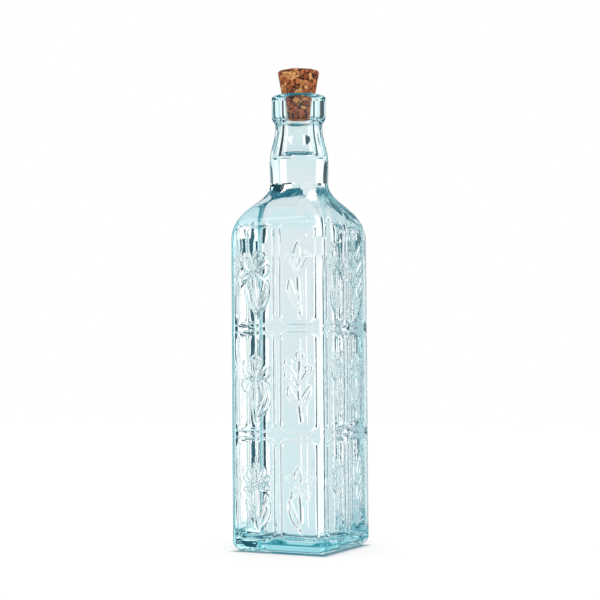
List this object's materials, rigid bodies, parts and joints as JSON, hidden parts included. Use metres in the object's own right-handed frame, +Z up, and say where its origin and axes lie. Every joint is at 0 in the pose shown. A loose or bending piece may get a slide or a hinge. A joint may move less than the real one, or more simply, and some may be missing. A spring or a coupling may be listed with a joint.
{
  "type": "corked glass oil bottle",
  "caption": "Square pale aqua glass bottle with pressed flower panels, a round neck with a ring lip, and a tapered cork that pulls out of its mouth.",
  "frame": {"origin": "centre of the base, on the surface that the bottle stands on", "axes": "+Z up the bottle towards the cork, -Y out of the front face, +X out of the right face"},
  "size_m": [0.0702, 0.0702, 0.3174],
  "materials": {
    "aqua_glass": "polished",
    "pressed_cork": "matte",
    "clear_oil": "polished"
  },
  "bodies": {
    "bottle": {"glass_bottle": "aqua_glass"},
    "stopper": {"cork": "pressed_cork"}
  },
  "joints": [
    {"name": "cork_pull", "type": "slide", "parent": "bottle", "child": "stopper", "axis": [0, 0, 1], "range_m": [0, 0.04]}
  ]
}
